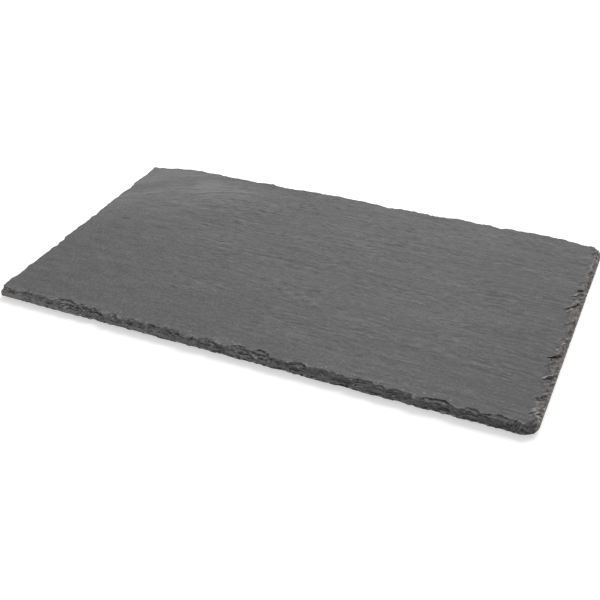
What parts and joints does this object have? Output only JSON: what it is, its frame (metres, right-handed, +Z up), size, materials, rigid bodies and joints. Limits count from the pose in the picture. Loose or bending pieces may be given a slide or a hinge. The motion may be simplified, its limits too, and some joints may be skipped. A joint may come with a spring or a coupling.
{
  "type": "slate serving board",
  "caption": "Flat rectangular slate serving board with a hand-chipped edge and a riven top, standing on small stick-on rubber pads.",
  "frame": {"origin": "on the table, under the middle of the slab", "axes": "+X along the slab's length, -Y towards its front, +Z up out of the serving face"},
  "size_m": [0.32, 0.18, 0.0083],
  "materials": {
    "slate": "riven, matt with a faint sheen",
    "pad_rubber": "matt, moulded",
    "adhesive": "satin film"
  },
  "bodies": {
    "root": {"slate_slab": "slate", "foot_front_left": "pad_rubber", "foot_front_right": "pad_rubber", "foot_back_left": "pad_rubber", "foot_back_right": "pad_rubber", "adhesive_front_left": "adhesive", "adhesive_front_right": "adhesive", "adhesive_back_left": "adhesive", "adhesive_back_right": "adhesive"}
  },
  "joints": []
}
